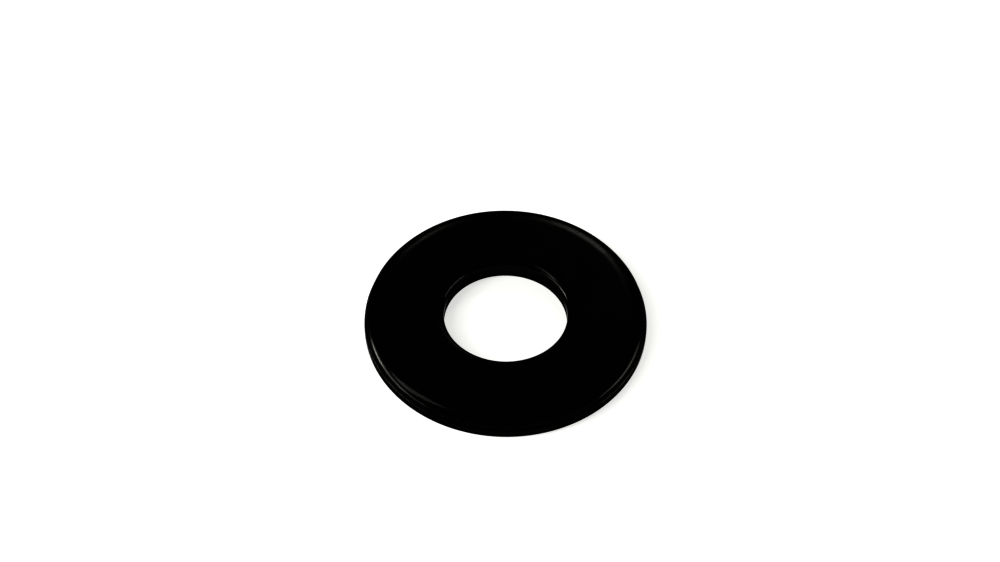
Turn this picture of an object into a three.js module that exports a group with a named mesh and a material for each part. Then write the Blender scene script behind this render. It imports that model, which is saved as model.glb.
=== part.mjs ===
// Flat washer, blanked from steel plate, with a black oxide finish.
// Millimetres, +Z up. The origin is the centre of the hole on the bottom (flat) face.
// The blanking die drags the upper edges of the rim and of the hole down into soft, rolled
// corners, and leaves the lower face flat with only a fine deburred edge.

import * as THREE from 'three';

// Driving dimensions: a wide 3/8 inch washer.
const outerDiameter = 25.4;
const boreDiameter = 11.1;
const thickness = 1.9;

// Top face: flat from the bore out to the crown, then falling slightly towards the rim.
const crownStartRadius = 10.9;
const crownDrop = 0.05;

// Rolled corners, as quarters of an ellipse: across (radially) and down (along the axis). The
// rim's starts part of the way round, where it is as steep as the end of the crown.
const rimRollWidth = 1.1;
const rimRollDepth = 1.4;
const rimRollStartAngle = THREE.MathUtils.degToRad(7.5);
const boreRollWidth = 0.55;
const boreRollDepth = 0.65;

// Deburred edge of the bottom face, at the rim and at the hole.
const edgeBreak = 0.12;

// Facets round the axis and along each curved stretch of the section.
const segmentsRound = 96;
const crownSteps = 4;
const rollSteps = 6;

const outerRadius = outerDiameter / 2;
const boreRadius = boreDiameter / 2;
const rimTop = thickness - crownDrop;
const rimRollStart = outerRadius - rimRollWidth;

// A rolled corner's point: level at the top (angle 0) and upright at the wall (a quarter turn).
function rollPoint(topRadius, topHeight, width, depth, angle) {
  const radius = topRadius + width * Math.sin(angle);
  const height = topHeight - depth * (1 - Math.cos(angle));
  return new THREE.Vector2(radius, height);
}

function rimRollPoint(angle) {
  return rollPoint(rimRollStart, rimTop, rimRollWidth, rimRollDepth, angle);
}

// The crown is a parabola that leaves the flat face, and meets the rolled corner, with no crease.
function crownPoint(t) {
  const end = rimRollPoint(rimRollStartAngle);
  const radius = THREE.MathUtils.lerp(crownStartRadius, end.x, t);
  return new THREE.Vector2(radius, thickness - (thickness - end.y) * t * t);
}

// Closed section of the ring: x is the radius and y is the height above the bottom face.
function ringSection() {
  const points = [
    new THREE.Vector2(boreRadius + edgeBreak, 0),
    new THREE.Vector2(outerRadius - edgeBreak, 0),
    new THREE.Vector2(outerRadius, edgeBreak),
  ];
  for (let i = rollSteps; i >= 0; i -= 1) {
    const angle = THREE.MathUtils.lerp(rimRollStartAngle, Math.PI / 2, i / rollSteps);
    points.push(rimRollPoint(angle));
  }
  for (let i = crownSteps - 1; i >= 0; i -= 1) {
    points.push(crownPoint(i / crownSteps));
  }
  for (let i = 0; i <= rollSteps; i += 1) {
    const angle = (i / rollSteps) * (Math.PI / 2);
    const boreRollStart = boreRadius + boreRollWidth;
    points.push(rollPoint(boreRollStart, thickness, -boreRollWidth, boreRollDepth, angle));
  }
  points.push(new THREE.Vector2(boreRadius, edgeBreak));
  points.push(points[0].clone());
  return points;
}

// LatheGeometry turns the section about Y, so the ring is tipped over to lie about Z.
const ringGeometry = new THREE.LatheGeometry(ringSection(), segmentsRound);
ringGeometry.rotateX(Math.PI / 2);

const blackOxideSteel = new THREE.MeshStandardMaterial({
  color: 0x0d0d0c,
  roughness: 0.36,
  metalness: 0.9,
});

const washer = new THREE.Mesh(ringGeometry, blackOxideSteel);
washer.name = 'washer_ring';

const group = new THREE.Group();
group.add(washer);

export default group;
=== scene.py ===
"""A flat washer in black oxide steel: the blanked ring, its finish, and a small studio."""

import math

import bpy
from bpy.props import FloatProperty, FloatVectorProperty, IntProperty, PointerProperty
from mathutils import Matrix, Vector


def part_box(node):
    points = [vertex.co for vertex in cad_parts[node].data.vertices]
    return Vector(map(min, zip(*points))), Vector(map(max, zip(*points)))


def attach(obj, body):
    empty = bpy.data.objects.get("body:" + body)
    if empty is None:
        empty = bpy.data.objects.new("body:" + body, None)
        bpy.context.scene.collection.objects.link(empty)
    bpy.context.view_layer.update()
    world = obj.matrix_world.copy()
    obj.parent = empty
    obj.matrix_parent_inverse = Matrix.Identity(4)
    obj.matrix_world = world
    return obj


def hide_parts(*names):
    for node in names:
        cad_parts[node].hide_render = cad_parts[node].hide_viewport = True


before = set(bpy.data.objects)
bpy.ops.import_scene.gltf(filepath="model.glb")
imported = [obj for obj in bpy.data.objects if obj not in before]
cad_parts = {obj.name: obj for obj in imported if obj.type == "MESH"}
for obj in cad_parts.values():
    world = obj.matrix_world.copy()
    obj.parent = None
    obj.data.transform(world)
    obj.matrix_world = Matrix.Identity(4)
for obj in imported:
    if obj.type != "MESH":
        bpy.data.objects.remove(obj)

bl_info = {
    "name": "Flat washer",
    "version": (1, 0, 0),
    "blender": (4, 5, 0),
    "location": "View3D > Sidebar > Washer",
    "description": "Models a blanked flat washer, its black oxide finish and a studio for it",
    "category": "Object",
}

MM = 0.001
NODE = "washer_ring"
SLOT = "black_oxide_steel"
LIGHT_DISTANCE = 0.6     # from the washer to each light
FLOOR_SIZE = 6.0
SENSOR_WIDTH = 36.0      # millimetres, as on a full-frame camera
ROOM_GLOW = 0.08         # what the metal reflects where there is no light
BACKDROP_GLOW = 1.0      # what the camera sees past the floor
SMOOTH_ANGLE = math.radians(50)
WHITE = (1.0, 1.0, 1.0, 1.0)
STEEL = "_steel"         # ends the name of each attribute that the finish reads

# The box of the CAD model, before anything is added to it.
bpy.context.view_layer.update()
LOWEST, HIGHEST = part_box(NODE)
OUTER_RADIUS = HIGHEST.x
THICKNESS = HIGHEST.z
BORE_RADIUS = min(v.co.xy.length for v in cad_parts[NODE].data.vertices)


# --- Small helpers ---------------------------------------------------------------------


def linear(hex_colour):
    """sRGB hex, such as "#1b1a18", to the linear colour that shaders use."""
    parts = [int(hex_colour[i:i + 2], 16) / 255 for i in (1, 3, 5)]
    return tuple(c / 12.92 if c <= 0.04045 else ((c + 0.055) / 1.055) ** 2.4 for c in parts)


def smooth_step(low, high, value):
    """0 below low, 1 above high, and an S-curve between."""
    t = min(max((value - low) / (high - low), 0.0), 1.0)
    return t * t * (3 - 2 * t)


def direction(azimuth, elevation):
    """Unit vector towards a place round the washer. Azimuth 0 is +X and 90 degrees is +Y."""
    flat = math.cos(elevation)
    return Vector((math.cos(azimuth) * flat, math.sin(azimuth) * flat, math.sin(elevation)))


def deselect_all():
    for thing in bpy.context.selected_objects:
        thing.select_set(False)


def add_node(tree, kind, links=None, **settings):
    """Adds a node. links maps an input's name or number to a value, or to the socket that feeds it."""
    new = tree.nodes.new(kind)
    for name, value in settings.items():
        setattr(new, name, value)
    for key, value in (links or {}).items():
        if isinstance(value, bpy.types.NodeSocket):
            tree.links.new(value, new.inputs[key])
        else:
            new.inputs[key].default_value = value
    return new


# --- Sizes and colours that a user would change ------------------------------------------


class WasherShape(bpy.types.PropertyGroup):
    """The ring's section, which repeats the CAD model's, and the marks that blanking leaves."""

    outer_radius: FloatProperty(
        name="Outer radius", description="Radius of the rim", default=OUTER_RADIUS, unit="LENGTH")
    bore_radius: FloatProperty(
        name="Bore radius", description="Radius of the hole", default=BORE_RADIUS, unit="LENGTH")
    thickness: FloatProperty(
        name="Thickness", description="Height of the flat top face", default=THICKNESS, unit="LENGTH")
    crown_radius: FloatProperty(
        name="Crown radius", description="Where the top face starts to fall towards the rim",
        default=10.9 * MM, unit="LENGTH")
    crown_drop: FloatProperty(
        name="Crown drop", description="How far the top face falls before the rolled corner",
        default=0.05 * MM, unit="LENGTH")
    rim_roll_width: FloatProperty(
        name="Rim roll width", description="Rolled corner of the rim, measured across",
        default=1.1 * MM, unit="LENGTH")
    rim_roll_depth: FloatProperty(
        name="Rim roll depth", description="Rolled corner of the rim, measured down",
        default=1.4 * MM, unit="LENGTH")
    rim_roll_start: FloatProperty(
        name="Rim roll start", description="Where on its ellipse the rim's rolled corner leaves the crown",
        default=math.radians(7.5), subtype="ANGLE")
    bore_roll_width: FloatProperty(
        name="Bore roll width", description="Rolled corner of the hole, measured across",
        default=0.55 * MM, unit="LENGTH")
    bore_roll_depth: FloatProperty(
        name="Bore roll depth", description="Rolled corner of the hole, measured down",
        default=0.65 * MM, unit="LENGTH")
    edge_break: FloatProperty(
        name="Edge break", description="Rounding of the bottom face's two edges",
        default=0.12 * MM, unit="LENGTH")
    tear_low: FloatProperty(
        name="Tear low", description="Lower edge of the torn band on the rim",
        default=0.80 * MM, unit="LENGTH")
    tear_high: FloatProperty(
        name="Tear high", description="Upper edge of the torn band on the rim",
        default=1.20 * MM, unit="LENGTH")
    bore_tear_high: FloatProperty(
        name="Bore tear high", description="Upper edge of the torn band in the hole",
        default=0.62 * MM, unit="LENGTH")
    tear_recess: FloatProperty(
        name="Tear recess", description="How far the torn bands lie behind the sheared ones",
        default=0.06 * MM, unit="LENGTH")
    tear_grain: FloatProperty(
        name="Tear grain", description="Depth of the torn bands' roughness",
        default=0.05 * MM, unit="LENGTH")
    roll_sag: FloatProperty(
        name="Roll sag", description="How much the rolled corners vary round the ring",
        default=0.03 * MM, unit="LENGTH")
    segments: IntProperty(
        name="Segments", description="Steps round the ring", default=640, min=64, max=900)


class WasherFinish(bpy.types.PropertyGroup):
    """Colours of the black oxide and of the steel that shows where it is rubbed."""

    oxide: FloatVectorProperty(
        name="Oxide", description="Blackened steel", subtype="COLOR", default=linear("#161615"))
    oxide_warm: FloatVectorProperty(
        name="Warm oxide", description="Blackened steel where the film is thinner",
        subtype="COLOR", default=linear("#191917"))
    torn: FloatVectorProperty(
        name="Torn steel", description="Blackened steel on the torn bands",
        subtype="COLOR", default=linear("#0b0b0a"))
    rubbed: FloatVectorProperty(
        name="Rubbed edge", description="Steel that shows through on the corners",
        subtype="COLOR", default=linear("#373735"))


class WasherStudio(bpy.types.PropertyGroup):
    """Camera, floor and lights."""

    elevation: FloatProperty(
        name="Elevation", description="Height of the camera above the horizon",
        default=math.radians(49.85), subtype="ANGLE")
    roll: FloatProperty(
        name="Roll", description="Turn of the camera about its own axis",
        default=math.radians(0.48), subtype="ANGLE")
    distance: FloatProperty(
        name="Distance", description="From the camera to the plane through the washer's centre",
        default=188 * MM, unit="LENGTH")
    lens: FloatProperty(name="Lens", description="Focal length in millimetres", default=75.0)
    aside: FloatProperty(
        name="Aside", description="How far the washer stands to the right of the picture's centre",
        default=0.50 * MM, unit="LENGTH")
    below: FloatProperty(
        name="Below", description="How far the washer stands below the picture's centre",
        default=3.80 * MM, unit="LENGTH")
    floor_colour: FloatVectorProperty(
        name="Floor", description="Pale paper under the washer",
        subtype="COLOR", default=linear("#f2f2f0"))
    floor_glow: FloatProperty(
        name="Floor glow", description="Light that comes up through the paper", default=0.45)


# --- The ring ------------------------------------------------------------------------------


def quarter(steps):
    """Angles of a quarter turn, from 0 to 90 degrees."""
    return [math.radians(90) * i / steps for i in range(steps + 1)]


def ring_section(shape):
    """The ring's closed section as (radius, height), from the hole's lower edge outwards."""
    edge, top = shape.edge_break, shape.thickness
    rim_roll = shape.outer_radius - shape.rim_roll_width
    rim_top = top - shape.crown_drop
    wall_high = rim_top - shape.rim_roll_depth
    bore_roll = shape.bore_radius + shape.bore_roll_width
    bore_wall_high = top - shape.bore_roll_depth
    support = 0.15 * MM

    def rim_point(angle):
        radius = rim_roll + shape.rim_roll_width * math.sin(angle)
        return radius, rim_top - shape.rim_roll_depth * (1 - math.cos(angle))

    points = [(shape.bore_radius + edge, 0.0), (shape.bore_radius + edge + support, 0.0)]
    points.append((shape.outer_radius - edge - support, 0.0))
    for a in quarter(4):
        radius = shape.outer_radius - edge * (1 - math.sin(a))
        points.append((radius, edge * (1 - math.cos(a))))
    wall_steps = 8
    for i in range(1, wall_steps):
        points.append((shape.outer_radius, edge + (wall_high - edge) * i / wall_steps))
    roll_steps = 24
    roll_start, roll_end = shape.rim_roll_start, math.radians(90)
    for i in range(roll_steps + 1):
        points.append(rim_point(roll_end + (roll_start - roll_end) * i / roll_steps))
    crown_end, crown_low = points[-1]
    crown_steps = 10
    for i in reversed(range(crown_steps)):
        t = i / crown_steps
        radius = shape.crown_radius + (crown_end - shape.crown_radius) * t
        points.append((radius, top - (top - crown_low) * t * t))
    flat_steps = 6
    for i in range(1, flat_steps):
        points.append((shape.crown_radius + (bore_roll - shape.crown_radius) * i / flat_steps, top))
    for a in quarter(14):
        radius = bore_roll - shape.bore_roll_width * math.sin(a)
        points.append((radius, top - shape.bore_roll_depth * (1 - math.cos(a))))
    bore_steps = 14
    for i in range(1, bore_steps):
        points.append((shape.bore_radius, bore_wall_high + (edge - bore_wall_high) * i / bore_steps))
    for a in reversed(quarter(4)[1:]):
        radius = shape.bore_radius + edge * (1 - math.sin(a))
        points.append((radius, edge * (1 - math.cos(a))))
    return points


def extrude_to(here, there):
    """Extrudes the selected loop about Z from one (radius, height) to the next."""
    lift = (0.0, 0.0, there[1] - here[1])
    bpy.ops.mesh.extrude_region_move(TRANSFORM_OT_translate={"value": lift})
    grow = there[0] / here[0]
    bpy.ops.transform.resize(value=(grow, grow, 1.0), center_override=(0.0, 0.0, 0.0))


def turn_ring(shape):
    """Turns the section about Z: a circle is extruded from point to point and bridged to its start."""
    deselect_all()
    points = ring_section(shape)
    bpy.ops.mesh.primitive_circle_add(
        vertices=shape.segments, radius=points[0][0], fill_type="NOTHING", location=(0, 0, points[0][1]))
    ring = bpy.context.object
    ring.name = "blanked_ring"
    bpy.ops.object.transform_apply(location=True, rotation=True, scale=True)
    bpy.ops.object.mode_set(mode="EDIT")
    bpy.ops.mesh.select_mode(type="EDGE")
    bpy.ops.mesh.select_all(action="SELECT")
    for here, there in zip(points, points[1:]):
        extrude_to(here, there)
    bpy.ops.mesh.select_all(action="DESELECT")
    bpy.ops.mesh.select_non_manifold(extend=False)
    bpy.ops.mesh.bridge_edge_loops()
    bpy.ops.mesh.select_all(action="SELECT")
    bpy.ops.mesh.normals_make_consistent(inside=False)
    bpy.ops.object.mode_set(mode="OBJECT")
    return ring


def ragged(angle, seed):
    """A jagged line round the ring, from -1 to 1, as a sum of waves that close on themselves."""
    waves = ((3, 0.30), (7, 0.22), (16, 0.16), (37, 0.14), (83, 0.10), (151, 0.08))
    return sum(size * math.sin(turns * angle + seed * (turns + 1)) for turns, size in waves)


def torn_weight(shape, place):
    """How torn the steel is at a place: 1 on the torn bands and 0 on the sheared ones."""
    angle = math.atan2(place.y, place.x)
    radius = place.xy.length
    blur = 0.04 * MM
    if radius > shape.outer_radius - shape.rim_roll_width / 2:
        low = shape.tear_low + 0.05 * MM * ragged(angle, 1.3)
        high = shape.tear_high + 0.07 * MM * ragged(angle, 4.1)
        return smooth_step(low - blur, low + blur, place.z) * smooth_step(high + blur, high - blur, place.z)
    if radius < shape.bore_radius + shape.bore_roll_width / 4:
        high = shape.bore_tear_high + 0.08 * MM * ragged(angle, 2.6)
        low = shape.edge_break
        return smooth_step(low, low + blur, place.z) * smooth_step(high + blur, high - blur, place.z)
    return 0.0


def roll_weight(shape, place):
    """1 on the two rolled corners, fading to 0 on the flat top and down the walls."""
    radius = place.xy.length
    rim = smooth_step(shape.crown_radius, shape.outer_radius - shape.rim_roll_width / 2, radius)
    bore_roll = shape.bore_radius + shape.bore_roll_width
    bore = smooth_step(bore_roll, shape.bore_radius + shape.bore_roll_width / 4, radius)
    return max(rim, bore) * smooth_step(shape.tear_high, shape.thickness - shape.crown_drop, place.z)


def weigh(ring, name, weight):
    """Makes a vertex group from a weight for each place, and an attribute that the finish reads."""
    values = [weight(vertex.co) for vertex in ring.data.vertices]
    group = ring.vertex_groups.new(name=name)
    for index, value in enumerate(values):
        if value > 0:
            group.add([index], value, "REPLACE")
    attribute = ring.data.attributes.new(name=name + STEEL, type="FLOAT", domain="POINT")
    attribute.data.foreach_set("value", values)


def displace(ring, group, strength, axis="NORMAL", texture=None):
    """Pushes a weighted part of the ring in, evenly or by a texture, and applies it."""
    push = ring.modifiers.new(group, "DISPLACE")
    push.vertex_group = group
    push.direction = axis
    push.strength = -strength
    push.mid_level = 0.0
    push.texture = texture
    bpy.context.view_layer.objects.active = ring
    bpy.ops.object.modifier_apply(modifier=push.name)


def clouds(name, size, depth):
    """A cloud texture whose lumps are about size across."""
    texture = bpy.data.textures.new(name, "CLOUDS")
    texture.noise_scale = size
    texture.noise_depth = depth
    return texture


class WASHER_OT_ring(bpy.types.Operator):
    """Model the ring, with rolled corners and the sheared and torn bands of its cut edges"""

    bl_idname = "washer.ring"
    bl_label = "Ring"

    def execute(self, context):
        shape = context.scene.washer_shape
        ring = turn_ring(shape)
        weigh(ring, "torn", lambda place: torn_weight(shape, place))
        weigh(ring, "rolled", lambda place: roll_weight(shape, place))
        displace(ring, "torn", shape.tear_recess)
        displace(ring, "torn", shape.tear_grain, texture=clouds("torn_grain", 0.16 * MM, 3))
        displace(ring, "rolled", shape.roll_sag, "Z", clouds("roll_sag", 3.5 * MM, 2))
        deselect_all()
        ring.select_set(True)
        bpy.ops.object.shade_smooth_by_angle(angle=SMOOTH_ANGLE)
        ring.data.materials.clear()
        ring.data.materials.append(black_oxide_steel(context.scene.washer_finish))
        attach(ring, "root")
        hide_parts(NODE)
        return {"FINISHED"}


# --- The finish ------------------------------------------------------------------------------


def black_oxide_steel(finish):
    """Mild steel, blanked, tumbled, blackened in hot salts and dipped in thin oil.

    The oxide is a film about a micrometre thick, so the steel keeps every mark under it: a
    satin sheen on the plate and on the rolled corners, and a dull look on the torn bands. The
    oil evens out the finest roughness and leaves the black deep. The specular tint darkens
    reflections at grazing angles, and was chosen for its look.
    """
    material = bpy.data.materials.new(SLOT)
    material.use_nodes = True
    tree = material.node_tree
    tree.nodes.clear()

    place = add_node(tree, "ShaderNodeTexCoord").outputs["Object"]
    torn = add_node(tree, "ShaderNodeAttribute", attribute_name="torn" + STEEL).outputs["Fac"]
    rolled = add_node(tree, "ShaderNodeAttribute", attribute_name="rolled" + STEEL).outputs["Fac"]

    # Tone of the film: patches a few millimetres across, from the salts and the oil.
    patches = add_node(
        tree, "ShaderNodeTexNoise",
        {"Vector": place, "Scale": 1 / (5 * MM), "Detail": 3.0, "Roughness": 0.55}).outputs["Fac"]
    tone = add_node(
        tree, "ShaderNodeMix", {0: patches, 6: (*finish.oxide, 1), 7: (*finish.oxide_warm, 1)},
        data_type="RGBA").outputs[2]
    tone = add_node(
        tree, "ShaderNodeMix", {0: torn, 6: tone, 7: (*finish.torn, 1)}, data_type="RGBA").outputs[2]

    # Rubbed corners: tumbling thins the film on them, in specks about a third of a millimetre.
    specks = add_node(
        tree, "ShaderNodeTexNoise",
        {"Vector": place, "Scale": 1 / (0.33 * MM), "Detail": 4.0, "Roughness": 0.65}).outputs["Fac"]
    rub = add_node(
        tree, "ShaderNodeMapRange",
        {"Value": specks, "From Min": 0.52, "From Max": 0.78, "To Min": 0.0, "To Max": 0.5}).outputs[0]
    rub = add_node(
        tree, "ShaderNodeMath", {0: rub, 1: rolled}, operation="MULTIPLY").outputs[0]
    tone = add_node(
        tree, "ShaderNodeMix", {0: rub, 6: tone, 7: (*finish.rubbed, 1)}, data_type="RGBA").outputs[2]

    # Rolled plate: fine lines along X, 0.02 mm apart in life, drawn 0.15 mm apart so that they show.
    along = add_node(
        tree, "ShaderNodeMapping", {"Vector": place, "Scale": (0.06, 1.0, 1.0)}).outputs[0]
    lines = add_node(
        tree, "ShaderNodeTexNoise",
        {"Vector": along, "Scale": 1 / (0.15 * MM), "Detail": 3.0, "Roughness": 0.6}).outputs["Fac"]
    # Tumbling: shallow pits in every direction, about 0.1 mm across.
    pits = add_node(
        tree, "ShaderNodeTexNoise",
        {"Vector": place, "Scale": 1 / (0.1 * MM), "Detail": 2.0, "Roughness": 0.5}).outputs["Fac"]
    # Shearing: upright strokes on the walls, 0.08 mm apart, that hardly change with height.
    upright = add_node(
        tree, "ShaderNodeMapping", {"Vector": place, "Scale": (1.0, 1.0, 0.05)}).outputs[0]
    strokes = add_node(
        tree, "ShaderNodeTexNoise",
        {"Vector": upright, "Scale": 1 / (0.08 * MM), "Detail": 2.0, "Roughness": 0.5}).outputs["Fac"]

    facing = add_node(tree, "ShaderNodeNewGeometry").outputs["Normal"]
    level = add_node(tree, "ShaderNodeSeparateXYZ", {0: facing}).outputs["Z"]
    level = add_node(tree, "ShaderNodeMath", {0: level}, operation="ABSOLUTE").outputs[0]
    plate = add_node(
        tree, "ShaderNodeMapRange", {"Value": level, "From Min": 0.3, "From Max": 0.9}).outputs[0]
    marks = add_node(
        tree, "ShaderNodeMix", {0: plate, 2: strokes, 3: lines}, data_type="FLOAT").outputs[0]
    marks = add_node(tree, "ShaderNodeMath", {0: marks, 1: pits}, operation="ADD").outputs[0]

    # Gloss: satin, a little uneven from patch to patch, and dull where torn.
    gloss = add_node(
        tree, "ShaderNodeMapRange",
        {"Value": patches, "From Min": 0.3, "From Max": 0.7, "To Min": 0.18, "To Max": 0.24}).outputs[0]
    gloss = add_node(
        tree, "ShaderNodeMix", {0: torn, 2: gloss, 3: 0.6}, data_type="FLOAT").outputs[0]
    grain = add_node(
        tree, "ShaderNodeMapRange", {"Value": marks, "From Min": 0.7, "From Max": 1.3,
                                     "To Min": -0.04, "To Max": 0.05}).outputs[0]
    gloss = add_node(tree, "ShaderNodeMath", {0: gloss, 1: grain}, operation="ADD").outputs[0]

    relief = add_node(
        tree, "ShaderNodeBump", {"Height": marks, "Distance": 0.0010 * MM, "Strength": 1.0})
    steel = add_node(
        tree, "ShaderNodeBsdfPrincipled",
        {"Base Color": tone, "Roughness": gloss, "Normal": relief.outputs[0],
         "Metallic": 1.0, "Specular Tint": (0.3, 0.3, 0.3, 1.0),
         "Coat Weight": 0.05, "Coat Roughness": 0.15, "Coat IOR": 1.47})
    add_node(tree, "ShaderNodeOutputMaterial", {"Surface": steel.outputs[0]})
    return material


def plain_paper(colour, glow):
    """Matt white paper on a light table: no gloss, a faint tooth, and some light from below."""
    material = bpy.data.materials.new("plain_paper")
    material.use_nodes = True
    tree = material.node_tree
    tree.nodes.clear()
    place = add_node(tree, "ShaderNodeTexCoord").outputs["Object"]
    tooth = add_node(
        tree, "ShaderNodeTexNoise", {"Vector": place, "Scale": 1 / (0.5 * MM), "Detail": 2.0})
    relief = add_node(
        tree, "ShaderNodeBump",
        {"Height": tooth.outputs["Fac"], "Distance": 0.01 * MM, "Strength": 0.3})
    paper = add_node(
        tree, "ShaderNodeBsdfPrincipled",
        {"Base Color": (*colour, 1), "Roughness": 0.9, "Specular IOR Level": 0.1,
         "Normal": relief.outputs[0], "Emission Color": (*colour, 1), "Emission Strength": glow})
    add_node(tree, "ShaderNodeOutputMaterial", {"Surface": paper.outputs[0]})
    return material


# --- The studio ------------------------------------------------------------------------------


def softbox(name, azimuth, elevation, wide, high, glow):
    """A soft rectangular light that faces the washer. Its angles are degrees, seen from there."""
    light = bpy.data.lights.new(name, "AREA")
    light.shape = "RECTANGLE"
    light.size = 2 * LIGHT_DISTANCE * math.tan(math.radians(wide) / 2)
    light.size_y = 2 * LIGHT_DISTANCE * math.tan(math.radians(high) / 2)
    light.energy = math.pi * light.size * light.size_y * glow
    box = bpy.data.objects.new(name, light)
    bpy.context.scene.collection.objects.link(box)
    towards = direction(math.radians(azimuth), math.radians(elevation))
    box.location = towards * LIGHT_DISTANCE
    box.rotation_euler = towards.to_track_quat("Z", "Y").to_euler()


def lay_floor(colour, glow):
    deselect_all()
    bpy.ops.mesh.primitive_plane_add(size=FLOOR_SIZE, location=(0, 0, 0))
    floor = bpy.context.object
    floor.name = "floor"
    floor.data.materials.append(plain_paper(colour, glow))


def place_camera(studio):
    """Points the camera down at the washer, which stands a little aside from the centre."""
    down, up = math.sin(studio.elevation), math.cos(studio.elevation)
    ahead = Vector((0.0, up, -down))
    right = Vector((1.0, 0.0, 0.0))
    above = Vector((0.0, down, up))
    turned = Matrix.Rotation(studio.roll, 3, -ahead)
    right, above = turned @ right, turned @ above
    camera = bpy.data.objects.new("camera", bpy.data.cameras.new("camera"))
    camera.data.lens = studio.lens
    camera.data.sensor_width = SENSOR_WIDTH
    camera.data.clip_start = 0.01
    camera.location = above * studio.below - right * studio.aside - ahead * studio.distance
    axes = Matrix((right, above, -ahead)).transposed()
    camera.rotation_euler = axes.to_euler()
    bpy.context.scene.collection.objects.link(camera)
    bpy.context.scene.camera = camera


def dim_world():
    """A pale backdrop to the eye, and a dark room to the metal, so that its black stays deep."""
    world = bpy.data.worlds.new("studio_room")
    bpy.context.scene.world = world
    world.use_nodes = True
    tree = world.node_tree
    tree.nodes.clear()
    seen = add_node(tree, "ShaderNodeLightPath").outputs["Is Camera Ray"]
    room = add_node(tree, "ShaderNodeBackground", {"Color": WHITE, "Strength": ROOM_GLOW})
    backdrop = add_node(tree, "ShaderNodeBackground", {"Color": WHITE, "Strength": BACKDROP_GLOW})
    both = add_node(
        tree, "ShaderNodeMixShader", {0: seen, 1: room.outputs[0], 2: backdrop.outputs[0]})
    add_node(tree, "ShaderNodeOutputWorld", {"Surface": both.outputs[0]})


# Name, azimuth, elevation, width and height in degrees, and brightness.
LIGHTS = (
    ("left_strip_low", 188, 35, 16, 14, 5.2),
    ("left_strip_high", 193, 53, 16, 22, 3.2),
    ("left_card_back", 168, 5, 16, 10, 28.0),
    ("left_card", 188, 5, 24, 10, 10.0),
    ("left_card_front", 208, 5, 16, 10, 4.0),
    ("right_card", 359, 5, 42, 10, 8.5),
    ("back_right", 80, 39, 6, 9, 8.0),
    ("back_left", 100, 38, 5, 6, 5.0),
)


class WASHER_OT_studio(bpy.types.Operator):
    """Lay the floor, and place the lights and the camera"""

    bl_idname = "washer.studio"
    bl_label = "Studio"

    def execute(self, context):
        studio = context.scene.washer_studio
        lay_floor(studio.floor_colour, studio.floor_glow)
        dim_world()
        for light in LIGHTS:
            softbox(*light)
        place_camera(studio)
        context.scene.view_settings.view_transform = "Standard"
        context.scene.view_settings.look = "Very High Contrast"
        return {"FINISHED"}


# --- The add-on ------------------------------------------------------------------------------


class WASHER_PT_panel(bpy.types.Panel):
    """Sidebar panel that lists the washer's steps and sizes"""

    bl_idname = "WASHER_PT_panel"
    bl_label = "Flat washer"
    bl_space_type = "VIEW_3D"
    bl_region_type = "UI"
    bl_category = "Washer"

    def draw(self, context):
        column = self.layout.column()
        for step in STEPS:
            column.operator(step.bl_idname)
        for group in (context.scene.washer_shape, context.scene.washer_finish, context.scene.washer_studio):
            for name in group.__annotations__:
                column.prop(group, name)


STEPS = (WASHER_OT_ring, WASHER_OT_studio)
CLASSES = (WasherShape, WasherFinish, WasherStudio, *STEPS, WASHER_PT_panel)


def register():
    for cls in CLASSES:
        bpy.utils.register_class(cls)
    bpy.types.Scene.washer_shape = PointerProperty(type=WasherShape)
    bpy.types.Scene.washer_finish = PointerProperty(type=WasherFinish)
    bpy.types.Scene.washer_studio = PointerProperty(type=WasherStudio)


def unregister():
    del bpy.types.Scene.washer_studio
    del bpy.types.Scene.washer_finish
    del bpy.types.Scene.washer_shape
    for cls in reversed(CLASSES):
        bpy.utils.unregister_class(cls)


def main():
    register()
    bpy.ops.washer.ring()
    bpy.ops.washer.studio()
    bpy.context.view_layer.update()


if __name__ == "__main__":
    main()
